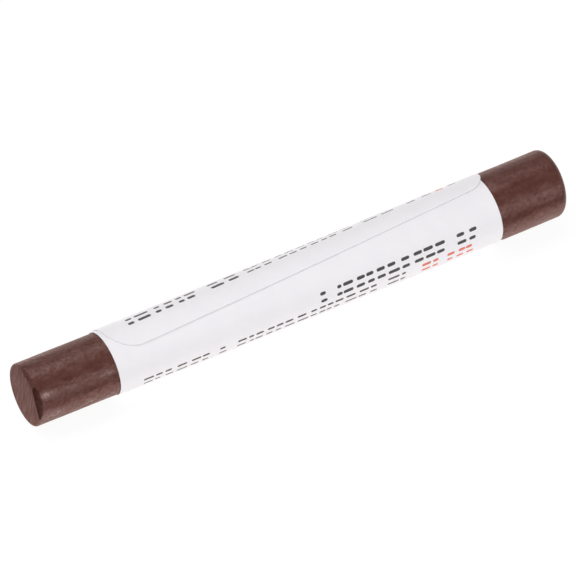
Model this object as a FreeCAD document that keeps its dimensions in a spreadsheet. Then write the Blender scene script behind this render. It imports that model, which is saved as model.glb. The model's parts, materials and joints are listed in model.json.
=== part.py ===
"""Hard-wax filler stick: a round, slightly tapered stick of brown wax in a stuck-on paper label.

Millimetres. The stick lies along X on the plane Z = 0, its narrow end towards -X.
Directions round the stick are angles about +X, from +Y towards +Z: 90 is the top, 180 the front.
"""
import FreeCAD, Part
import math
import os
import Sketcher
from FreeCAD import Placement, Rotation, Vector

doc = FreeCAD.newDocument("wax_filler_stick")
sheet = doc.addObject("Spreadsheet::Sheet", "dims")

DIMENSIONS = {
    # The wax: a round bare grip at each end, and between them a slow taper under the label,
    # with a short flare up to the thick grip. The thick end has a moulded rim, the narrow a cut one.
    "stick_length": 90.0,
    "near_diameter": 9.8,
    "seat_diameter": 10.4,
    "far_diameter": 10.7,
    "flare_length": 1.2,
    "far_rim_radius": 1.0,
    "near_rim_radius": 0.15,
    # Two flats worn on the narrow end's rim: where each ridge crosses the end face, how far
    # each flat reaches along the side, and which way it faces
    "front_flat_ridge": 3.55,
    "front_flat_reach": 0.65,
    "front_flat_direction": 154.0,
    "upper_flat_ridge": 3.95,
    "upper_flat_reach": 0.45,
    "upper_flat_direction": 109.0,
    # The label, wound once round and then over its own first edge
    "bare_near_end": 13.2,
    "label_width": 65.1,
    "paper_thickness": 0.10,
    "glue_thickness": 0.03,
    "first_edge_direction": 23.0,
    "climb_angle": 12.0,
    "tail_shift": 0.6,
    "tail_corner_radius": 4.0,
    "tail_near_direction": 127.0,
    "tail_far_direction": 90.5,
}
for row, (alias, value) in enumerate(DIMENSIONS.items(), start=1):
    sheet.set(f"A{row}", alias)
    sheet.set(f"B{row}", str(value))
    sheet.setAlias(f"B{row}", alias)
doc.recompute()

# Expressions that several features share
NEAR_END = "(-dims.stick_length / 2)"
FAR_END = "(dims.stick_length / 2)"
LABEL_NEAR = f"({NEAR_END} + dims.bare_near_end)"
LABEL_FAR = f"({LABEL_NEAR} + dims.label_width)"
TAPER = "((dims.seat_diameter - dims.near_diameter) / 2 / dims.label_width)"
LAYER = "(dims.paper_thickness + dims.glue_thickness)"
TAIL_NEAR = f"({LABEL_NEAR} + dims.tail_shift)"
TAIL_FAR = f"({LABEL_FAR} + dims.tail_shift)"
FULL_TURN = 360.0
# The tail's outline is cut square to this direction, about the middle of its edge
TAIL_FACING = "((dims.tail_near_direction + dims.tail_far_direction) / 2)"


def seat_radius(x):
    """The radius of the taper that the label is wound on, at a place along the stick."""
    return f"(dims.near_diameter / 2 + ({x} - {LABEL_NEAR}) * {TAPER})"


def add_sketch(body, name, role, turn="0", shift="0"):
    """A sketch on one of the body's origin planes, turned about its own X or shifted along its normal."""
    sketch = body.newObject("Sketcher::SketchObject", name)
    plane = next(f for f in body.Origin.OriginFeatures if f.Role == role)
    sketch.AttachmentSupport = [(plane, "")]
    sketch.MapMode = "FlatFace"
    sketch.AttachmentOffset = Placement(Vector(), Rotation(Vector(1, 0, 0), 1.0))
    sketch.setExpression("AttachmentOffset.Rotation.Angle", turn)
    sketch.setExpression("AttachmentOffset.Base.z", shift)
    doc.recompute()
    return sketch


def value_of(sketch, expression):
    """What an expression comes to now, as a plain number, to draw a sketch near its final shape."""
    found = sketch.evalExpression(expression)
    return float(getattr(found, "Value", found))


def add_outline(sketch, corners):
    """A closed outline of straight lines through corners, each given as two expressions."""
    points = [Vector(value_of(sketch, x), value_of(sketch, y), 0) for x, y in corners]
    count = len(points)
    for i in range(count):
        sketch.addGeometry(Part.LineSegment(points[i], points[(i + 1) % count]), False)
    for i in range(count):
        sketch.addConstraint(Sketcher.Constraint("Coincident", i, 2, (i + 1) % count, 1))
    for i, (x, y) in enumerate(corners):
        pin_point(sketch, i, 1, x, y)


def pin_point(sketch, line, end, x, y):
    """Holds a line's end at a place given by two expressions."""
    for kind, expression in (("DistanceX", x), ("DistanceY", y)):
        at = value_of(sketch, expression)
        index = sketch.addConstraint(Sketcher.Constraint(kind, -1, 1, line, end, at))
        sketch.setExpression(f"Constraints[{index}]", expression)


def revolve(body, sketch, angle):
    """Turns a sketch about its own horizontal axis, the stick's axis, through an angle."""
    feature = body.newObject("PartDesign::Revolution", f"{sketch.Name}_turned")
    feature.Profile = sketch
    feature.ReferenceAxis = (sketch, ["H_Axis"])
    feature.setExpression("Angle", angle)
    doc.recompute()
    return feature


def lay_down(sub_part):
    """Leans the stick by the label's taper, so that the label's lowest line lies along Z = 0."""
    axis_height = f"({seat_radius('0')} + {LAYER}) * cos(atan({TAPER}))"
    sub_part.Placement = Placement(Vector(), Rotation(Vector(0, -1, 0), 1.0))
    sub_part.setExpression("Placement.Rotation.Angle", f"atan({TAPER})")
    sub_part.setExpression("Placement.Base.z", axis_height)


def round_rim(body, base, x, radius):
    """Rounds the circular edge that the wax has at a place along its axis."""
    rim = next(
        f"Edge{i}"
        for i, edge in enumerate(base.Shape.Edges, start=1)
        if isinstance(edge.Curve, Part.Circle) and abs(edge.Curve.Center.x - x) < 1e-6
    )
    feature = body.newObject("PartDesign::Fillet", f"rim_at_{'far' if x > 0 else 'near'}_end")
    feature.Base = (base, [rim])
    feature.setExpression("Radius", radius)
    doc.recompute()
    return feature


def wear_flat(body, name):
    """Cuts a slanting flat across the narrow end's rim."""
    sketch = add_sketch(body, f"{name}_flat", "XZ_Plane", turn=f"dims.{name}_flat_direction - 90")
    ridge = f"dims.{name}_flat_ridge"
    reach = f"dims.{name}_flat_reach"
    rise = f"(dims.near_diameter / 2 - {ridge})"
    # The cutting triangle runs on past the wax in the flat's own slope
    add_outline(sketch, [
        (f"{NEAR_END} - {reach}", f"{ridge} - {rise}"),
        (f"{NEAR_END} + 2 * {reach}", f"{ridge} + 2 * {rise}"),
        (f"{NEAR_END} - {reach}", f"{ridge} + 2 * {rise}"),
    ])
    cut = body.newObject("PartDesign::Pocket", f"{name}_flat_cut")
    cut.Profile = sketch
    cut.Midplane = True
    cut.setExpression("Length", "2 * dims.near_diameter")
    doc.recompute()


def make_wax_stick():
    body = doc.addObject("PartDesign::Body", "wax_stick")
    profile = add_sketch(body, "wax_profile", "XZ_Plane")
    add_outline(profile, [
        (NEAR_END, "0"),
        (FAR_END, "0"),
        (FAR_END, "dims.far_diameter / 2"),
        (f"{LABEL_FAR} + dims.flare_length", "dims.far_diameter / 2"),
        (LABEL_FAR, "dims.seat_diameter / 2"),
        (LABEL_NEAR, "dims.near_diameter / 2"),
        (NEAR_END, "dims.near_diameter / 2"),
    ])
    wax = revolve(body, profile, str(FULL_TURN))
    half = sheet.stick_length / 2
    wax = round_rim(body, wax, half, "dims.far_rim_radius")
    round_rim(body, wax, -half, "dims.near_rim_radius")
    for name in ("front", "upper"):
        wear_flat(body, name)
    lay_down(body)
    return body


def add_sleeve(body, name, near, far, inside, outside, start, sweep):
    """Part of a turn of a thin layer, between two heights above the wax."""
    sketch = add_sketch(body, name, "XZ_Plane", turn=f"{start} - 90")
    add_outline(sketch, [
        (near, f"{seat_radius(near)} + {inside}"),
        (far, f"{seat_radius(far)} + {inside}"),
        (far, f"{seat_radius(far)} + {outside}"),
        (near, f"{seat_radius(near)} + {outside}"),
    ])
    revolve(body, sketch, sweep)


def make_first_turn(name, inside, outside):
    """The layer's first turn, which stops short of its own first edge."""
    body = doc.addObject("PartDesign::Body", f"{name}_first_turn")
    sweep = f"{FULL_TURN} - dims.climb_angle"
    start = "dims.first_edge_direction"
    add_sleeve(body, f"{name}_turn", LABEL_NEAR, LABEL_FAR, inside, outside, start, sweep)
    return body


def make_climb(name, inside, outside):
    """The short flat strip in which the layer climbs onto its own first edge."""
    body = doc.addObject("PartDesign::Body", f"{name}_climb")
    low = "(dims.first_edge_direction - dims.climb_angle)"
    high = "dims.first_edge_direction"
    sections = []
    for end, x in (("near", TAIL_NEAR), ("far", LABEL_FAR)):
        sketch = add_sketch(body, f"{name}_climb_{end}", "YZ_Plane", shift=x)
        corners = []
        for height, angle in (
            (inside, low),
            (outside, low),
            (f"{outside} + {LAYER}", high),
            (f"{inside} + {LAYER}", high),
        ):
            radius = f"({seat_radius(x)} + {height})"
            corners.append((f"{radius} * cos({angle} * 1deg)", f"{radius} * sin({angle} * 1deg)"))
        add_outline(sketch, corners)
        sections.append(sketch)
    loft = body.newObject("PartDesign::AdditiveLoft", f"{name}_climb_loft")
    loft.Profile = sections[0]
    loft.Sections = [sections[1]]
    loft.Ruled = True
    doc.recompute()
    return body


def make_tail(name, inside, outside):
    """The layer's tail on top of the first turn, cut slantwise and with rounded corners."""
    body = doc.addObject("PartDesign::Body", f"{name}_tail")
    # The sleeve runs past the tail's edge, which the outline then cuts
    sweep = "(dims.tail_near_direction - dims.first_edge_direction + 10)"
    above = f"({inside} + {LAYER})"
    top = f"({outside} + {LAYER})"
    start = "dims.first_edge_direction"
    add_sleeve(body, f"{name}_tail_sleeve", TAIL_NEAR, TAIL_FAR, above, top, start, sweep)

    outline = add_sketch(body, f"{name}_tail_outline", "XY_Plane", turn=f"{TAIL_FACING} - 90")
    draw_tail_outline(outline)
    cut = body.newObject("PartDesign::Pocket", f"{name}_tail_cut")
    cut.Profile = outline
    cut.Reversed = True
    cut.setExpression("Length", "dims.far_diameter")
    doc.recompute()
    return body


def draw_tail_outline(sketch):
    """What is cut away beyond the tail's slanting edge and its two rounded corners."""
    near = value_of(sketch, TAIL_NEAR)
    far = value_of(sketch, TAIL_FAR)
    radius = sheet.tail_corner_radius
    outside = sheet.far_diameter
    ends = {}
    for end, x, direction in (
        ("near", TAIL_NEAR, "dims.tail_near_direction"),
        ("far", TAIL_FAR, "dims.tail_far_direction"),
    ):
        ends[end] = f"({seat_radius(x)} + {LAYER}) * sin(({TAIL_FACING} - {direction}) * 1deg)"
    y_near = value_of(sketch, ends["near"])
    y_far = value_of(sketch, ends["far"])
    slope = math.atan2(y_far - y_near, far - near)

    # Straight edge, then the two corner arcs, then the loop that closes outside the paper
    edge_start = Vector(near + radius, y_near + radius * math.tan(slope), 0)
    edge_end = Vector(far - radius, y_far - radius * math.tan(slope), 0)
    near_centre = Vector(near + radius, edge_start.y + radius, 0)
    far_centre = Vector(far - radius, edge_end.y + radius, 0)
    up = Vector(0, 0, 1)
    near_arc = Part.ArcOfCircle(Part.Circle(near_centre, up, radius), math.pi, 1.5 * math.pi + slope)
    far_arc = Part.ArcOfCircle(Part.Circle(far_centre, up, radius), 1.5 * math.pi + slope, 2 * math.pi)
    loop = [
        Vector(far, far_centre.y, 0),
        Vector(far + outside, far_centre.y, 0),
        Vector(far + outside, -outside, 0),
        Vector(near - outside, -outside, 0),
        Vector(near - outside, near_centre.y, 0),
        Vector(near, near_centre.y, 0),
    ]
    straight = sketch.addGeometry(Part.LineSegment(edge_start, edge_end), False)
    arc_near = sketch.addGeometry(near_arc, False)
    arc_far = sketch.addGeometry(far_arc, False)
    sides = [sketch.addGeometry(Part.LineSegment(a, b), False) for a, b in zip(loop, loop[1:])]

    def constrain(*what):
        return sketch.addConstraint(Sketcher.Constraint(*what))

    constrain("Tangent", arc_near, 2, straight, 1)
    constrain("Tangent", straight, 2, arc_far, 1)
    constrain("Coincident", arc_far, 2, sides[0], 1)
    for before, after in zip(sides, sides[1:]):
        constrain("Coincident", before, 2, after, 1)
    constrain("Coincident", sides[-1], 2, arc_near, 1)
    for i in (0, 2, 4):
        constrain("Horizontal", sides[i])
    for i in (1, 3):
        constrain("Vertical", sides[i])
    # Each arc leaves the paper square to its end
    constrain("Horizontal", arc_near, 3, arc_near, 1)
    constrain("Horizontal", arc_far, 3, arc_far, 2)
    constrain("Equal", arc_near, arc_far)

    def hold(expression, *what):
        index = sketch.addConstraint(Sketcher.Constraint(*what, value_of(sketch, expression)))
        sketch.setExpression(f"Constraints[{index}]", expression)

    hold("dims.tail_corner_radius", "Radius", arc_near)
    hold(TAIL_NEAR, "DistanceX", -1, 1, arc_near, 1)
    hold(TAIL_FAR, "DistanceX", -1, 1, arc_far, 2)
    hold(f"{ends['near']}", "DistanceY", -1, 1, straight, 1)
    hold(f"{ends['far']}", "DistanceY", -1, 1, straight, 2)
    hold(f"{TAIL_FAR} + dims.far_diameter", "DistanceX", -1, 1, sides[1], 2)
    hold(f"{TAIL_NEAR} - dims.far_diameter", "DistanceX", -1, 1, sides[3], 1)
    hold("-dims.far_diameter", "DistanceY", -1, 1, sides[2], 1)


def make_wound_layer(name, inside, outside):
    """A thin layer wound round the wax, between two heights above it in its first turn."""
    pieces = [make(name, inside, outside) for make in (make_first_turn, make_climb, make_tail)]
    layer = doc.addObject("Part::MultiFuse", name)
    layer.Shapes = pieces
    layer.Refine = True
    lay_down(layer)
    return layer


SUB_PARTS = [
    make_wax_stick(),
    make_wound_layer("label_adhesive", "0", "dims.glue_thickness"),
    make_wound_layer("paper_label", "dims.glue_thickness", LAYER),
]
doc.recompute()

for item in doc.Objects:
    if "Invalid" in item.State or "Error" in item.State:
        raise RuntimeError(f"{item.Name} failed: {item.State}")

os.makedirs("parts", exist_ok=True)
for sub_part in SUB_PARTS:
    shape = sub_part.Shape
    if shape.isNull() or not shape.isValid() or len(shape.Solids) != 1:
        raise RuntimeError(f"{sub_part.Label} isn't one valid solid")
    shape.exportStep(f"parts/{sub_part.Label}.step")
    print(f"{sub_part.Label}: {shape.Volume:.3f} mm3, {shape.BoundBox}")
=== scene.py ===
"""Looks of a hard-wax filler stick: brown mottled wax in a wound white paper label.

Lengths are in millimetres until place() turns them into the frame's metres. A point on the
stick is given by x along its axis from the middle, a direction round the axis in degrees
(90 is the top, 180 the front) and a radius. On the label, phi is how far round a point is
wound, in degrees from the label's first edge.
"""

import json
import math
import random

import bpy
import numpy as np
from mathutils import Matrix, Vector, noise


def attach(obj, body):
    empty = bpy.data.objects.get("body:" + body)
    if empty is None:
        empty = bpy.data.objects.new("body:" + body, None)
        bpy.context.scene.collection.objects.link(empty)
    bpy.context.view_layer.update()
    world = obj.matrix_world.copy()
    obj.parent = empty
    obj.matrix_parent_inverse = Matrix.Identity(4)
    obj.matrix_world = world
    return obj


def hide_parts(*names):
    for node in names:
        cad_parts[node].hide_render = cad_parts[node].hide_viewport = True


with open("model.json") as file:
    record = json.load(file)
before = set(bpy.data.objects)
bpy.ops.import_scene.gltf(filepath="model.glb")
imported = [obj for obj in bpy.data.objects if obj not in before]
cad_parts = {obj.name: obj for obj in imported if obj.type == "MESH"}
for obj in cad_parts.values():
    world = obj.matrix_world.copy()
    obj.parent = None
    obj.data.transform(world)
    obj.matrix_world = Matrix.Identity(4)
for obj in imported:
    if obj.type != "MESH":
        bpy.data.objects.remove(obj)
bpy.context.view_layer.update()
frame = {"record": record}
MOUNTS = {mount["name"]: mount for mount in frame["record"]["mounts"]}

MM = 0.001
FULL_TURN = 360.0
NEAR = Vector(MOUNTS["near_face"]["pos_m"])
FAR = Vector(MOUNTS["far_face"]["pos_m"])
MIDDLE = (NEAR + FAR) / 2
AXIS = (FAR - NEAR).normalized()
SIDE = Vector((0, 1, 0))
UP = AXIS.cross(SIDE)

# The wax: its narrow end is the near one and its thick end the far one. It widens evenly under
# the label as far as the seat's radius, and flares to the thick end's just beyond the label
HALF = (FAR - NEAR).length / 2 / MM
NEAR_RADIUS = MOUNTS["near_grip"]["dims"]["r_mm"]
FAR_RADIUS = MOUNTS["far_grip"]["dims"]["r_mm"]
SEAT_RADIUS = 5.2
FLARE = 1.2
NEAR_RIM = 0.30
FAR_RIM = 1.0
# The stick is bowed a little towards the front, and neither end is quite square
BOW = 0.24
NEAR_TILT = {"facing": 70.0, "slope": 0.026}
FAR_TILT = {"facing": 90.0, "slope": 0.045}
TILT_FADES = 6.0
# Its bare surface is slightly uneven, up to a short way from the label
WAX_UNEVEN = {"scale": 0.35, "amount": 0.02}
EVEN_BESIDE_LABEL = 0.3
# Each worn flat on the narrow end's rim: where its ridge crosses the face, how far it reaches
# along the side, the direction it faces, and how soft its ridge is
FLATS = (
    {"ridge": 3.68, "reach": 0.72, "facing": 152.5, "soft": 0.05},
    {"ridge": 3.95, "reach": 0.45, "facing": 109.0, "soft": 0.12},
)
# How far off a flat's plane the wax still gets the dark chipped colour, which also paints the
# flat's shade, and over what depth that fades
CHIP_SHADE_DEPTH = 0.02
CHIP_SHADE_FADES = 0.05
# Pale patches on the side near the narrow end, the strongest just behind the front flat
PALE_PATCHES = (
    {"from_end": 1.55, "facing": 144.0, "length": 0.8, "height": 0.4, "paleness": 1.0},
    {"from_end": 2.3, "facing": 189.0, "length": 1.6, "height": 0.7, "paleness": 0.6},
    {"from_end": 8.4, "facing": 193.0, "length": 0.9, "height": 0.3, "paleness": 0.8},
    {"from_end": 11.4, "facing": 148.0, "length": 1.2, "height": 0.3, "paleness": 0.4},
    {"from_end": 5.6, "facing": 147.0, "length": 0.9, "height": 0.3, "paleness": 0.25},
)
# The blade's marks on the narrow end's face run this way
CUT_DIRECTION = 100.0

# The label, which starts where the narrow end's bare wax stops
NEAR_BARE = 13.2
LABEL_NEAR = -HALF + NEAR_BARE
LABEL_WIDTH = 65.1
LABEL_FAR = LABEL_NEAR + LABEL_WIDTH
PAPER = 0.10
GLUE = 0.03
LAYER = PAPER + GLUE
# The directions of its first edge and of its tail's edge at either side, how much further
# round the tail's edge is halfway, and the angle over which it climbs onto its first turn
FIRST_EDGE = 23.0
TAIL_NEAR_FACING = 126.0
TAIL_FAR_FACING = 90.5
TAIL_SAG = 1.5
CLIMB = 12.0
# The radii of the tail's corners, and how far its edge has come loose, over what width
TAIL_NEAR_CORNER = 4.8
TAIL_FAR_CORNER = 3.2
TAIL_LIFT = 0.02
TAIL_LIFT_WIDTH = 0.9
# Winding on a taper makes the label creep towards the thick end. It lies where LABEL_NEAR says
# at this phi, which faces the front and up
CREEP_PER_TURN = 0.7
NO_CREEP_AT = 107.0
# The label is slightly uneven too, with slower swells
LABEL_UNEVEN = {"scale": 0.2, "amount": 0.012}
# The film of adhesive bites into the wax, stays clear of the paper and ends short of its edges
FILM_BITE = 0.005
FILM_CLEARANCE = 0.004
FILM_INSET = 0.12

# The narrow end's rings end this far from its face, beyond the flats, and the close rings of
# the bare wax go on this far under the label's edges
NEAR_END_LENGTH = 1.2
UNDER_NEAR_EDGE = 0.5
UNDER_FAR_EDGE = 1.0
# How many steps each stretch of the wax and the label is cut into
SEGMENTS = 320
NEAR_FACE_STEPS = 55
NEAR_RIM_STEPS = 5
NEAR_STRIP_STEPS = 9
BARE_NEAR_STEPS = 71
HIDDEN_STEPS = 19
BARE_FAR_STEPS = 57
FAR_RIM_STEPS = 11
FAR_FACE_STEPS = 13
LABEL_END_STEPS = 21
LABEL_MIDDLE_STEPS = 55
FIRST_TURN_STEPS = 119
TAIL_STEPS = 95


def place(x, direction, radius):
    """Points in the frame, in metres, from arrays of stick coordinates."""
    turn = np.radians(direction)
    bow = BOW * ((x / HALF) ** 2 - 1.0 / 3.0)
    across = np.multiply.outer(radius * np.cos(turn) + bow, np.array(SIDE))
    above = np.multiply.outer(radius * np.sin(turn), np.array(UP))
    along = np.multiply.outer(x * np.ones_like(turn), np.array(AXIS))
    return np.array(MIDDLE) + MM * (along + across + above)


def steps(start, end, count):
    """Evenly spaced values after start, the last of them end."""
    return np.linspace(start, end, count + 1)[1:]


def smoothstep(t):
    t = np.clip(t, 0.0, 1.0)
    return t * t * (3.0 - 2.0 * t)


def smooth_max(a, b, soft):
    """The larger of a and b, blended where they are within soft of each other."""
    blend = np.clip(0.5 + 0.5 * (a - b) / soft, 0.0, 1.0)
    return b + (a - b) * blend + soft * blend * (1.0 - blend)


def unevenness(x, direction, scale, amount):
    """Slow, smooth noise over a stick of about 5 mm radius, longer along it than round it."""
    along = scale * 0.4
    round_it = scale * 5
    turn = np.radians(direction)
    values = [
        noise.noise(Vector((px * along, math.cos(t) * round_it, math.sin(t) * round_it)))
        for px, t in zip(np.ravel(x), np.ravel(turn))
    ]
    return amount * np.reshape(values, np.shape(x))


def mesh_object(name, points, faces, flat_faces=()):
    """A mesh of frame points, shaded smooth except for its flat faces."""
    mesh = bpy.data.meshes.new(name)
    mesh.from_pydata([tuple(p) for p in points], [], list(faces) + list(flat_faces))
    smooth = [True] * len(faces) + [False] * len(flat_faces)
    mesh.polygons.foreach_set("use_smooth", smooth)
    mesh.update()
    obj = bpy.data.objects.new(name, mesh)
    bpy.context.scene.collection.objects.link(obj)
    return obj


def front(direction):
    """The phi of a direction in the label's first turn."""
    return direction - FIRST_EDGE


def on_tail(direction):
    """The phi of a direction on the label's tail."""
    return direction - FIRST_EDGE + FULL_TURN


def belong(obj, slot, *nodes):
    """The piece rides on the stick and stands for CAD nodes, which it hides. The slot is not used.
    """
    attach(obj, "root")
    if nodes:
        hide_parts(*nodes)


# ---------------------------------------------------------------- the wax


def seat_radius(x):
    """The taper that the label is wound on."""
    share = (x - LABEL_NEAR) / LABEL_WIDTH
    return NEAR_RADIUS + share * (SEAT_RADIUS - NEAR_RADIUS)


def wax_radius(x):
    """The wax's radius along its side, rims apart."""
    stations = [-HALF, LABEL_NEAR, LABEL_FAR, LABEL_FAR + FLARE, HALF]
    radii = [NEAR_RADIUS, NEAR_RADIUS, SEAT_RADIUS, FAR_RADIUS, FAR_RADIUS]
    return np.interp(x, stations, radii)


def flat_depth(flat, direction, radius):
    """How deep a flat's plane lies behind the face, and how far beyond its ridge that is."""
    slope = flat["reach"] / (NEAR_RADIUS - flat["ridge"])
    beyond_ridge = radius * np.cos(np.radians(direction - flat["facing"])) - flat["ridge"]
    return beyond_ridge * slope, beyond_ridge


def near_face_depth(direction, radius):
    """How far the narrow end lies behind the plane of its face, rim and flats included."""
    beyond = np.clip(radius - (NEAR_RADIUS - NEAR_RIM), 0.0, NEAR_RIM)
    depth = NEAR_RIM - np.sqrt(NEAR_RIM**2 - beyond**2)
    for flat in FLATS:
        depth = smooth_max(flat_depth(flat, direction, radius)[0], depth, flat["soft"])
    return depth


def end_tilt(x, direction, radius):
    """How far points near each end move along the axis because the end isn't square."""
    shift = 0.0
    for tilt, from_end in ((NEAR_TILT, HALF + x), (FAR_TILT, HALF - x)):
        lever = radius * np.cos(np.radians(direction - tilt["facing"]))
        shift = shift + tilt["slope"] * lever * (1.0 - smoothstep(from_end / TILT_FADES))
    return shift


def chip_and_shade_share(x, direction, radius):
    """How much of the dark colour the front flat gets, for chipped wax and painted shade: wholly at
    its ridge, half at its far edge, 0 off it.
    """
    flat = FLATS[0]
    depth, beyond_ridge = flat_depth(flat, direction, radius)
    beside_face = x < -HALF + 1.5 * flat["reach"]
    on_flat = (beyond_ridge > 0.0) & beside_face
    on_plane = 1.0 - smoothstep((np.abs((x + HALF) - depth) - CHIP_SHADE_DEPTH) / CHIP_SHADE_FADES)
    from_ridge = beyond_ridge / (NEAR_RADIUS - flat["ridge"])
    return on_flat * on_plane * (1.0 - 0.5 * smoothstep(from_ridge))


def pale_patch_share(x, direction, radius):
    """How pale the patches make the wax: most in the middle of each, fading to 0 round it."""
    share = 0.0
    for patch in PALE_PATCHES:
        along = (x + HALF - patch["from_end"]) / patch["length"]
        round_it = np.radians(direction - patch["facing"]) * radius / patch["height"]
        share = share + patch["paleness"] * np.exp(-(along**2) - round_it**2)
    return share


def near_end_rings(direction):
    """Rings of the narrow end: its face, its rim, then a strip of side that starts at the rim."""
    rings = []
    for share in steps(0.0, 1.0, NEAR_FACE_STEPS):
        radius = np.full(SEGMENTS, share * (NEAR_RADIUS - NEAR_RIM))
        rings.append((near_face_depth(direction, radius) - HALF, radius))
    for turn in steps(0.0, math.pi / 2, NEAR_RIM_STEPS):
        radius = np.full(SEGMENTS, NEAR_RADIUS - NEAR_RIM * (1.0 - math.sin(turn)))
        rings.append((near_face_depth(direction, radius) - HALF, radius))
    rim = near_face_depth(direction, np.full(SEGMENTS, NEAR_RADIUS)) - HALF
    for share in steps(0.0, 1.0, NEAR_STRIP_STEPS):
        x = rim + share * (-HALF + NEAR_END_LENGTH - rim)
        rings.append((x, wax_radius(x)))
    return rings


def side_rings():
    """Rings of the side: close together where the wax is bare, few under the label."""
    hidden_from = LABEL_NEAR + UNDER_NEAR_EDGE
    hidden_to = LABEL_FAR - UNDER_FAR_EDGE
    bare_near = steps(-HALF + NEAR_END_LENGTH, hidden_from, BARE_NEAR_STEPS)
    hidden = steps(hidden_from, hidden_to, HIDDEN_STEPS)
    bare_far = steps(hidden_to, HALF - FAR_RIM, BARE_FAR_STEPS)
    return [
        (np.full(SEGMENTS, x), np.full(SEGMENTS, wax_radius(x)))
        for x in np.concatenate([bare_near, hidden, bare_far])
    ]


def far_end_rings():
    """Rings of the thick end: its rounded rim, then its face."""
    rings = []
    for turn in steps(0.0, math.pi / 2, FAR_RIM_STEPS):
        x = HALF - FAR_RIM * (1.0 - math.sin(turn))
        radius = FAR_RADIUS - FAR_RIM * (1.0 - math.cos(turn))
        rings.append((np.full(SEGMENTS, x), np.full(SEGMENTS, radius)))
    for share in steps(1.0, 0.0, FAR_FACE_STEPS)[:-1]:
        radius = np.full(SEGMENTS, share * (FAR_RADIUS - FAR_RIM))
        rings.append((np.full(SEGMENTS, HALF), radius))
    return rings


def closed_skin_faces(ring_count, near_middle, far_middle):
    """Faces between rings of points, closed by a fan round a middle point at each end."""
    faces = []
    last = (ring_count - 1) * SEGMENTS
    for i in range(SEGMENTS):
        j = (i + 1) % SEGMENTS
        faces.append((near_middle, j, i))
        faces.append((far_middle, last + i, last + j))
        for ring in range(ring_count - 1):
            low = ring * SEGMENTS
            high = low + SEGMENTS
            faces.append((low + i, low + j, high + j, high + i))
    return faces


def set_point_share(mesh, name, share):
    """How much of a mark each point has, for the material. The last two, in the middle of the ends,
    have none.
    """
    per_point = mesh.attributes.new(name, "FLOAT", "POINT")
    per_point.data.foreach_set("value", np.append(share.ravel(), [0.0, 0.0]))


def set_cut_face(mesh):
    """The second material goes on the faces that look straight out of the narrow end."""
    straight_out = -0.97
    for face in mesh.polygons:
        if face.normal.x < straight_out:
            face.material_index = 1


def make_wax():
    """The wax: a closed skin of rings from the middle of one end face to that of the other."""
    direction = np.arange(SEGMENTS) * FULL_TURN / SEGMENTS
    rings = near_end_rings(direction) + side_rings() + far_end_rings()
    x = np.array([ring[0] for ring in rings])
    radius = np.array([ring[1] for ring in rings])
    directions = np.broadcast_to(direction, x.shape)
    # The front flat's dark colour is chipped wax and painted shade
    chip_and_shade = chip_and_shade_share(x, directions, radius)
    patch = pale_patch_share(x, directions, radius)

    beside_label = (x > LABEL_NEAR - EVEN_BESIDE_LABEL) & (x < LABEL_FAR + EVEN_BESIDE_LABEL)
    bare = 1.0 - beside_label
    radius = radius + bare * unevenness(x, directions, **WAX_UNEVEN) * radius / NEAR_RADIUS
    x = x + end_tilt(x, directions, radius)
    points = list(place(x, directions, radius).reshape(-1, 3))
    points += [place(np.array(end), np.array(0.0), np.array(0.0)) for end in (-HALF, HALF)]
    faces = closed_skin_faces(len(rings), len(points) - 2, len(points) - 1)

    wax = mesh_object("wax_stick_skin", points, faces)
    set_point_share(wax.data, "chipped_and_shaded", chip_and_shade)
    set_point_share(wax.data, "pale_patched", patch)
    wax.data.materials.append(wax_material())
    wax.data.materials.append(cut_wax_material())
    set_cut_face(wax.data)
    belong(wax, "wax", "wax_stick")


# ---------------------------------------------------------------- the label


def winding(phi):
    """How high a layer wound to phi has climbed onto its own first turn."""
    return LAYER * smoothstep((phi - (FULL_TURN - CLIMB)) / CLIMB)


def tail_end(across):
    """The phi of the tail's edge, for places across the label's width from 0 to its width."""
    share = across / LABEL_WIDTH
    near = on_tail(TAIL_NEAR_FACING)
    far = on_tail(TAIL_FAR_FACING)
    edge = near + share * (far - near) + TAIL_SAG * 4.0 * share * (1.0 - share)
    corners = ((TAIL_NEAR_CORNER, across), (TAIL_FAR_CORNER, LABEL_WIDTH - across))
    for corner, from_end in corners:
        inside = np.clip(corner - from_end, 0.0, corner)
        cut_back = corner - np.sqrt(corner**2 - inside**2)
        edge = edge - np.degrees(cut_back / SEAT_RADIUS)
    return edge


def tail_lift(across, phi):
    """How far the tail's edge has come loose from the turn below."""
    from_edge = np.radians(tail_end(across) - phi) * SEAT_RADIUS
    return TAIL_LIFT * (1.0 - smoothstep(from_edge / TAIL_LIFT_WIDTH))


def creep(phi):
    """How far towards the thick end the label has crept when wound to phi."""
    return CREEP_PER_TURN * (phi - NO_CREEP_AT) / FULL_TURN


def label_point(across, phi, height):
    """Stick coordinates of a point on a layer: across its width, round it, and above the wax."""
    x = LABEL_NEAR + across + creep(phi)
    direction = FIRST_EDGE + phi
    swell = unevenness(x, direction, **LABEL_UNEVEN)
    raised = winding(phi) + tail_lift(across, phi) + swell
    return x, direction, seat_radius(x) + height + raised


def sheet_faces(rows, columns):
    """Sides and edges of a closed sheet: a grid of outer points, then the same grid further in."""
    inner = rows * columns
    sides = []
    for i in range(rows - 1):
        for j in range(columns - 1):
            a = i * columns + j
            b = a + columns
            sides.append((a, b, b + 1, a + 1))
            sides.append((inner + a, inner + a + 1, inner + b + 1, inner + b))
    border = list(range(columns))
    border += [i * columns + columns - 1 for i in range(1, rows)]
    border += [(rows - 1) * columns + j for j in range(columns - 2, -1, -1)]
    border += [i * columns for i in range(rows - 2, 0, -1)]
    edges = [(a, b, b + inner, a + inner) for a, b in zip(border, border[1:] + border[:1])]
    return sides, edges


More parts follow.
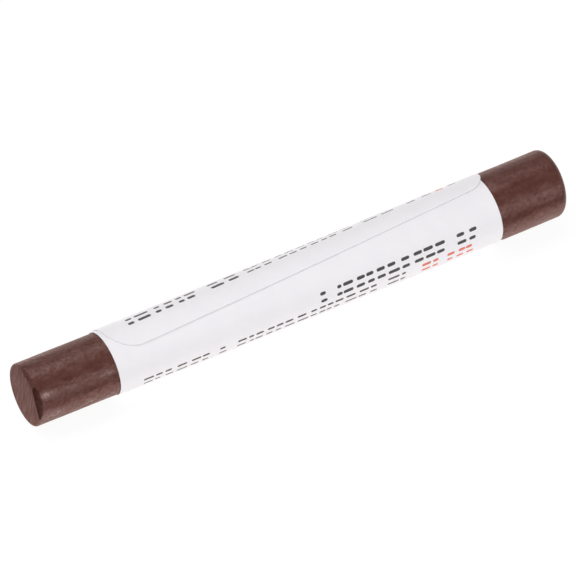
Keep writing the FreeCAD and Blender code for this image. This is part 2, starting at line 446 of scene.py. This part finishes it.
def wound_sheet(name, low, high, inset):
    """A closed thin sheet between two heights above the wax, its edges inset from the paper's."""
    # Across: closer together at the ends, for the tail's round corners
    end_width = 1.1 * TAIL_NEAR_CORNER
    near_end = end_width * np.linspace(0.0, 1.0, LABEL_END_STEPS + 1) ** 2
    middle = steps(end_width, LABEL_WIDTH - end_width, LABEL_MIDDLE_STEPS)[:-1]
    across = np.concatenate([near_end, middle, (LABEL_WIDTH - near_end)[::-1]])

    # Round: closer together from a little before the climb to the tail's edge
    turn_before_climb = FULL_TURN - 2.5 * CLIMB
    first_part = np.linspace(0.0, 1.0, FIRST_TURN_STEPS + 1)
    last_part = steps(0.0, 1.0, TAIL_STEPS)
    end = tail_end(across)
    phi = np.concatenate([
        np.multiply.outer(first_part * turn_before_climb, np.ones_like(end)),
        turn_before_climb + np.multiply.outer(last_part, end - turn_before_climb),
    ])

    squeeze = 1.0 - 2.0 * inset / LABEL_WIDTH
    widths = np.broadcast_to(inset + across * squeeze, phi.shape)
    inset_angle = math.degrees(inset / SEAT_RADIUS)
    phi = inset_angle + phi * (1.0 - 2.0 * inset_angle / end)
    layers = [place(*label_point(widths, phi, height)).reshape(-1, 3) for height in (high, low)]
    return mesh_object(name, np.concatenate(layers), *sheet_faces(*phi.shape))


def make_label():
    """The sheet of paper and the thin film of adhesive under it, wound together."""
    paper = wound_sheet("paper_label_sheet", GLUE, LAYER, 0.0)
    paper.data.materials.append(paper_material())
    belong(paper, "label_paper", "paper_label")
    film = wound_sheet("label_adhesive_film", -FILM_BITE, GLUE - FILM_CLEARANCE, FILM_INSET)
    film.data.materials.append(adhesive_material())
    belong(film, "adhesive", "label_adhesive")


# ---------------------------------------------------------------- printing
# Plain rounded bars stand for the printed notes: no letters, and nothing to read

# How far the ink stands out of the paper, and how far its underside is within it
INK = 0.006
INK_COLOURS = {
    "black": (0.05, 0.048, 0.05),
    "red": (0.72, 0.16, 0.10),
    "bold": (0.075, 0.070, 0.075),
}
# How many points a bar has across and along, and how near its ends come to half circles
BAR_ROWS = 9
BAR_COLUMNS = 7
BAR_ROUNDNESS = 0.9
# A row is two lines of bars, this share of its height above and below its middle
LINES = (-0.29, 0.29)
# Widths as shares of a cell or of a bar, and the chance of a gap after a pair of bars
LEAST_CELL = 0.4
BAR_WIDTHS = (0.55, 1.25)
BAR_STARTS = (0.0, 0.15)
INKED_SHARES = (0.55, 0.85)
GAP_CHANCE = 0.12
GAP_WIDTH = 0.7


def pill(x_from, x_to, middle, height, slope):
    """Points and faces of a rounded bar of ink along the stick, just proud of the paper."""
    half_length = (x_to - x_from) / 2
    offset = np.linspace(-height / 2, height / 2, BAR_ROWS)
    corner = min(height / 2, half_length) * BAR_ROUNDNESS
    inside = np.clip(np.abs(offset) - (height / 2 - corner), 0.0, corner)
    reach = half_length - corner + np.sqrt(corner**2 - inside**2)
    along = np.multiply.outer(reach, np.linspace(-1.0, 1.0, BAR_COLUMNS))
    x = (x_from + x_to) / 2 + along
    phi = middle + slope * x + np.degrees(offset / SEAT_RADIUS)[:, None]
    across = x - LABEL_NEAR - creep(phi)
    top = place(*label_point(across, phi, LAYER + INK)).reshape(-1, 3)
    base = place(*label_point(across, phi, LAYER - INK)).reshape(-1, 3)
    sides, edges = sheet_faces(BAR_ROWS, BAR_COLUMNS)
    return np.concatenate([top, base]), sides + edges


def print_run(ink, runs, seed):
    """One ink's bars. Each run is (from, to, phi, row height, slope, cell, bar thickness)."""
    chance = random.Random(seed)
    points = []
    faces = []
    for x_from, x_to, phi, row, slope, cell, thickness in runs:
        x = x_from
        while x < x_to - LEAST_CELL * cell:
            width = cell * chance.uniform(*BAR_WIDTHS)
            for line in LINES:
                start = x + cell * chance.uniform(*BAR_STARTS)
                end = min(start + width * chance.uniform(*INKED_SHARES), x_to)
                middle = phi + math.degrees(line * row / SEAT_RADIUS)
                new_points, new_faces = pill(start, end, middle, thickness * row, slope)
                shift = sum(len(group) for group in points)
                points.append(new_points)
                faces += [tuple(i + shift for i in face) for face in new_faces]
            x += width
            if chance.random() < GAP_CHANCE:
                x += GAP_WIDTH * cell
    bars = mesh_object(f"print_{ink}", np.concatenate(points), faces)
    bars.data.materials.append(ink_material(f"{ink}_ink", INK_COLOURS[ink]))
    belong(bars, "label_paper")


def make_printing():
    """Two rows of notes on the front, and one row on the tail with a red mark in it."""
    row = 2.2
    first_row = front(166.7)
    second_row = front(194.5)
    tail_row = on_tail(58.8)
    print_run("black", [
        (1.8, 29.7, first_row, row, -0.2, 2.0, 0.25),
        (-28.0, 17.0, second_row, row, -0.14, 2.0, 0.20),
    ], seed=3)
    print_run("red", [
        (19.1, 29.0, second_row, row, -0.14, 2.0, 0.26),
        (26.4, 28.1, tail_row, row, -0.5, 1.5, 0.22),
    ], seed=5)
    print_run("bold", [
        (-27.4, -8.0, tail_row, row, -0.5, 2.5, 0.26),
        (-7.0, 25.8, tail_row, row, -0.5, 2.5, 0.15),
        (28.7, 30.8, tail_row, row, -0.5, 2.5, 0.15),
    ], seed=8)


# ---------------------------------------------------------------- materials
# Noise scales are in features per millimetre, and bump depths in millimetres

WAX_DARK = (0.078, 0.0225, 0.0165)
WAX_MIDDLE = (0.096, 0.032, 0.0255)
WAX_BLOOM = (0.140, 0.062, 0.053)
WAX_CUT = (0.203, 0.109, 0.095)
# Dark colour of the chipped front flat, also painted shade
WAX_CHIPPED_AND_SHADED = (0.037, 0.006, 0.003)
WAX_PALE_PATCH = (0.40, 0.29, 0.265)
WAX_SHEEN = (1.0, 0.72, 0.66)
# The thick end is this much as handled as the narrow end
LEAST_HANDLED = 0.45
PAPER_DIM = (0.865, 0.846, 0.875)
PAPER_BRIGHT = (0.885, 0.868, 0.893)
ADHESIVE = (0.62, 0.60, 0.55)


def new_material(name):
    material = bpy.data.materials.new(name)
    material.use_nodes = True
    tree = material.node_tree
    return material, tree, tree.nodes["Principled BSDF"]


def surface_coordinates(tree, scale, turn=0.0):
    """Object coordinates in millimetres, turned back about X and then stretched by scale."""
    source = tree.nodes.new("ShaderNodeTexCoord")
    mapping = tree.nodes.new("ShaderNodeMapping")
    mapping.vector_type = "TEXTURE"
    mapping.inputs["Scale"].default_value = [MM / s for s in scale]
    mapping.inputs["Rotation"].default_value = (turn, 0.0, 0.0)
    tree.links.new(source.outputs["Object"], mapping.inputs["Vector"])
    return mapping.outputs["Vector"]


def noise_value(tree, vector, scale, detail):
    texture = tree.nodes.new("ShaderNodeTexNoise")
    texture.inputs["Scale"].default_value = scale
    texture.inputs["Detail"].default_value = detail
    tree.links.new(vector, texture.inputs["Vector"])
    return texture.outputs["Fac"]


def attribute(tree, name):
    node = tree.nodes.new("ShaderNodeAttribute")
    node.attribute_name = name
    return node.outputs["Fac"]


def multiply(tree, a, b):
    node = tree.nodes.new("ShaderNodeMath")
    node.operation = "MULTIPLY"
    tree.links.new(a, node.inputs[0])
    tree.links.new(b, node.inputs[1])
    return node.outputs["Value"]


def spread(tree, value, low, high, start=0.3, end=0.7):
    """low where the value is start or less, high where it is end or more, even in between."""
    node = tree.nodes.new("ShaderNodeMapRange")
    node.inputs["From Min"].default_value = start
    node.inputs["From Max"].default_value = end
    node.inputs["To Min"].default_value = low
    node.inputs["To Max"].default_value = high
    tree.links.new(value, node.inputs["Value"])
    return node.outputs["Result"]


def ramp(tree, value, stops):
    """Colours between stops of (position, colour)."""
    node = tree.nodes.new("ShaderNodeValToRGB")
    elements = node.color_ramp.elements
    for element, (position, colour) in zip(elements, (stops[0], stops[-1])):
        element.position = position
        element.color = (*colour, 1.0)
    for position, colour in stops[1:-1]:
        elements.new(position).color = (*colour, 1.0)
    tree.links.new(value, node.inputs["Fac"])
    return node.outputs["Color"]


def mix_colour(tree, factor, colour_a, colour_b):
    """colour_a where factor is 0 and colour_b where it is 1; colour_a is a node's output."""
    node = tree.nodes.new("ShaderNodeMix")
    node.data_type = "RGBA"
    colours = {i.name: i for i in node.inputs if i.type == "RGBA"}
    tree.links.new(factor, node.inputs["Factor"])
    tree.links.new(colour_a, colours["A"])
    colours["B"].default_value = (*colour_b, 1.0)
    return next(o for o in node.outputs if o.type == "RGBA")


def bump(tree, height, depth, under=None, strength=None):
    """Relief of a depth, on top of the relief under it and scaled by a strength if given."""
    node = tree.nodes.new("ShaderNodeBump")
    node.inputs["Strength"].default_value = 1.0
    node.inputs["Distance"].default_value = depth * MM
    tree.links.new(height, node.inputs["Height"])
    if under is not None:
        tree.links.new(under, node.inputs["Normal"])
    if strength is not None:
        tree.links.new(strength, node.inputs["Strength"])
    return node.outputs["Normal"]


def handled(tree, coordinates):
    """1 at the narrow end, which is gripped and worn, falling to less at the smooth thick end."""
    parts = tree.nodes.new("ShaderNodeSeparateXYZ")
    tree.links.new(coordinates, parts.inputs["Vector"])
    return spread(tree, parts.outputs["X"], 1.0, LEAST_HANDLED, start=-HALF, end=HALF)


def seen_edge_on(tree):
    """0 where the camera faces the surface, rising to 1 where it sees it edge on."""
    node = tree.nodes.new("ShaderNodeLayerWeight")
    node.inputs["Blend"].default_value = 0.5
    return node.outputs["Facing"]


def wax_colour(tree, mottle, even):
    """Mottled brown with a pale bloom, speckled in the pale patches, and dark on the chipped front
    flat, whose dark colour is also painted shade.
    """
    skin = ramp(tree, mottle, [(0.3, WAX_DARK), (0.55, WAX_MIDDLE), (0.78, WAX_BLOOM)])
    blotches = spread(tree, noise_value(tree, even, scale=3.0, detail=3.0), 0.0, 1.0)
    patches = multiply(tree, attribute(tree, "pale_patched"), blotches)
    colour = mix_colour(tree, patches, skin, WAX_PALE_PATCH)
    # Dark on the front flat: chipped wax, and painted shade
    return mix_colour(tree, attribute(tree, "chipped_and_shaded"), colour, WAX_CHIPPED_AND_SHADED)


def wax_shine(tree, even):
    """Patchy shine, weaker on the chipped front flat, which has painted shade, and where it is seen
    edge on.
    """
    shine = spread(tree, noise_value(tree, even, scale=1.7, detail=6.0), 0.25, 0.75)
    edge_on = spread(tree, seen_edge_on(tree), 1.0, 0.12, start=0.32, end=0.75)
    chipped_and_shaded = spread(tree, attribute(tree, "chipped_and_shaded"), 1.0, 0.6, start=0.0, end=1.0)
    return multiply(tree, multiply(tree, shine, edge_on), chipped_and_shaded)


def wax_relief(tree, along, even, worn):
    """A fine grain, dimples and slow swells, all fainter at the thick end."""
    grain = noise_value(tree, even, scale=2.5, detail=5.0)
    dimples = noise_value(tree, even, scale=1.8, detail=3.0)
    swells = noise_value(tree, along, scale=0.8, detail=2.0)
    relief = None
    for height, depth in ((grain, 0.03), (dimples, 0.08), (swells, 0.09)):
        relief = bump(tree, height, depth, relief, worn)
    return relief


def wax_material():
    """Semi-matt brown wax, streaked along the stick, with a patchy pale bloom and a fine grain."""
    material, tree, shader = new_material("wax")
    along = surface_coordinates(tree, (0.35, 1.0, 1.0))
    even = surface_coordinates(tree, (1.0, 1.0, 1.0))
    worn = handled(tree, even)
    less_bloom = spread(tree, worn, 0.95, 1.0, start=LEAST_HANDLED, end=1.0)
    mottle = multiply(tree, noise_value(tree, along, scale=0.9, detail=5.0), less_bloom)
    tree.links.new(wax_colour(tree, mottle, even), shader.inputs["Base Color"])
    tree.links.new(spread(tree, mottle, 0.28, 0.44), shader.inputs["Roughness"])
    tree.links.new(wax_shine(tree, even), shader.inputs["Specular IOR Level"])
    tree.links.new(wax_relief(tree, along, even, worn), shader.inputs["Normal"])
    shader.inputs["Specular Tint"].default_value = (*WAX_SHEEN, 1.0)
    return material


def cut_wax_material():
    """The narrow end's cut face: paler and duller, with fine parallel marks from the blade."""
    material, tree, shader = new_material("cut_wax")
    along_cut = surface_coordinates(tree, (1.0, 0.25, 3.0), math.radians(CUT_DIRECTION))
    marks = noise_value(tree, along_cut, scale=1.2, detail=6.0)
    colour = ramp(tree, marks, [(0.30, WAX_MIDDLE), (0.68, WAX_CUT)])
    tree.links.new(colour, shader.inputs["Base Color"])
    tree.links.new(bump(tree, marks, depth=0.04), shader.inputs["Normal"])
    shader.inputs["Roughness"].default_value = 0.6
    shader.inputs["IOR"].default_value = 1.12
    return material


def paper_material():
    """Smooth white label paper with hardly any tone of its own."""
    material, tree, shader = new_material("label_paper")
    even = surface_coordinates(tree, (1.0, 1.0, 1.0))
    tone = noise_value(tree, even, scale=0.35, detail=3.0)
    colour = ramp(tree, tone, [(0.3, PAPER_DIM), (0.7, PAPER_BRIGHT)])
    fibre = bump(tree, noise_value(tree, even, scale=2.0, detail=3.0), depth=0.006)
    tree.links.new(colour, shader.inputs["Base Color"])
    tree.links.new(fibre, shader.inputs["Normal"])
    shader.inputs["Roughness"].default_value = 0.6
    shader.inputs["Specular IOR Level"].default_value = 0.25
    return material


def plain_material(name, colour, roughness):
    """One colour all over, and its shader for whatever else it needs."""
    material, _, shader = new_material(name)
    shader.inputs["Base Color"].default_value = (*colour, 1.0)
    shader.inputs["Roughness"].default_value = roughness
    return material, shader


def adhesive_material():
    """Thin cream film of adhesive."""
    return plain_material("adhesive", ADHESIVE, roughness=0.35)[0]


def ink_material(name, colour):
    return plain_material(name, colour, roughness=0.5)[0]


def glowing(name, glow, diffuse, tint=(1.0, 1.0, 1.0)):
    """Matt white that glows, as the acrylic of a lit product table does."""
    material, shader = plain_material(name, (diffuse,) * 3, roughness=0.9)
    shader.inputs["Specular IOR Level"].default_value = 0.0
    shader.inputs["Emission Color"].default_value = (*tint, 1.0)
    shader.inputs["Emission Strength"].default_value = glow
    return material


# ---------------------------------------------------------------- surroundings, in metres

TABLE = {"glow": 0.93, "diffuse": 0.10}
BOUNCE = {"glow": 0.80, "diffuse": 0.0}
WARM_SHEET = {"glow": 1.85, "diffuse": 0.15, "tint": (1.0, 0.83, 0.77)}
# The three sheets lie a hair below the stick, in this order from the top
TABLE_HEIGHT = -0.03 * MM
WARM_SHEET_HEIGHT = -0.04 * MM
BOUNCE_HEIGHT = -0.05 * MM
# Both softboxes are this far away and this long. Each is above_front degrees up from the
# horizon in front
SOFTBOX_DISTANCE = 0.55
SOFTBOX_LENGTH = 1.0
TOP_SOFTBOX = {"above_front": 108.0, "width": 0.26, "radiance": 2.9, "along": -0.3}
FRONT_SOFTBOX = {"above_front": 19.0, "width": 0.24, "radiance": 1.75, "along": 0.0}
# The room's brightness from straight down, at 0, to straight up, at 1; the horizon is at 0.5
ROOM_TONES = ((0.44, 0.15), (0.50, 0.9), (0.62, 0.9), (0.78, 0.30), (1.0, 0.35))
CAMERA = {"azimuth": -29.60, "elevation": 45.15, "distance": 0.9092, "lens": 380.3}
# What the camera looks at, in its own right and up directions from the frame's origin
TARGET_RIGHT = -0.65 * MM
TARGET_UP = 3.58 * MM


def flat_panel(name, x_from, x_to, y_from, y_to, height, material):
    corners = [(x_from, y_from), (x_to, y_from), (x_to, y_to), (x_from, y_to)]
    panel = mesh_object(name, [(x, y, height) for x, y in corners], [(0, 1, 2, 3)])
    panel.data.materials.append(material)
    return panel


def make_table():
    """A white table, the light it gives back, and the small bright sheet that the sheen shows."""
    everywhere = (-2, 2, -2, 2)
    table = flat_panel("white_table", *everywhere, TABLE_HEIGHT, glowing("table", **TABLE))
    table.visible_glossy = False
    table.visible_diffuse = False

    bounce = flat_panel("bounce_board", *everywhere, BOUNCE_HEIGHT, glowing("bounce", **BOUNCE))
    bounce.visible_camera = False
    bounce.visible_glossy = False
    bounce.visible_shadow = False

    beside_stick = (NEAR.x - 8 * MM, 0.3, -15 * MM, 0.3)
    warm_white = glowing("warm_sheet", **WARM_SHEET)
    sheet = flat_panel("warm_sheet", *beside_stick, WARM_SHEET_HEIGHT, warm_white)
    sheet.visible_camera = False
    sheet.visible_diffuse = False
    sheet.visible_shadow = False


def softbox(name, above_front, width, radiance, along):
    """A long softbox parallel to the stick and facing it, some degrees up from the front."""
    light = bpy.data.lights.new(name, "AREA")
    light.shape = "RECTANGLE"
    light.size = SOFTBOX_LENGTH
    light.size_y = width
    light.energy = radiance * math.pi * width * SOFTBOX_LENGTH
    lamp = bpy.data.objects.new(name, light)
    bpy.context.scene.collection.objects.link(lamp)
    turn = math.radians(above_front)
    in_front = SOFTBOX_DISTANCE * math.cos(turn)
    lamp.location = (along, -in_front, SOFTBOX_DISTANCE * math.sin(turn))
    lamp.rotation_euler = (math.pi / 2 - turn, 0.0, 0.0)
    lamp.visible_camera = False


def make_lights():
    """One softbox over the back of the stick and nearer its narrow end, and one low in front."""
    softbox("top_softbox", **TOP_SOFTBOX)
    softbox("front_softbox", **FRONT_SOFTBOX)


def make_world():
    """Soft white room, bright towards the horizon and dim halfway up."""
    world = bpy.data.worlds.new("studio")
    bpy.context.scene.world = world
    world.use_nodes = True
    tree = world.node_tree
    source = tree.nodes.new("ShaderNodeTexCoord")
    parts = tree.nodes.new("ShaderNodeSeparateXYZ")
    tree.links.new(source.outputs["Generated"], parts.inputs["Vector"])
    height = spread(tree, parts.outputs["Z"], 0.0, 1.0, start=-1.0, end=1.0)
    tones = ramp(tree, height, [(position, (tone,) * 3) for position, tone in ROOM_TONES])
    tree.links.new(tones, tree.nodes["Background"].inputs["Color"])


def make_camera():
    """Long lens, on the narrow end's side of the front, looking down at the stick."""
    azimuth = math.radians(CAMERA["azimuth"])
    elevation = math.radians(CAMERA["elevation"])
    back = Vector((
        math.sin(azimuth) * math.cos(elevation),
        -math.cos(azimuth) * math.cos(elevation),
        math.sin(elevation),
    ))
    right = Vector((math.cos(azimuth), math.sin(azimuth), 0.0))
    up = back.cross(right)
    camera = bpy.data.objects.new("camera", bpy.data.cameras.new("camera"))
    bpy.context.scene.collection.objects.link(camera)
    camera.data.sensor_width = 36.0
    camera.data.lens = CAMERA["lens"]
    camera.data.clip_start = 0.01
    camera.location = TARGET_RIGHT * right + TARGET_UP * up + back * CAMERA["distance"]
    camera.rotation_mode = "QUATERNION"
    camera.rotation_quaternion = (-back).to_track_quat("-Z", "Y")
    bpy.context.scene.camera = camera


make_wax()
make_label()
make_printing()

make_table()
make_world()
make_lights()
make_camera()
bpy.context.scene.view_settings.view_transform = "Standard"
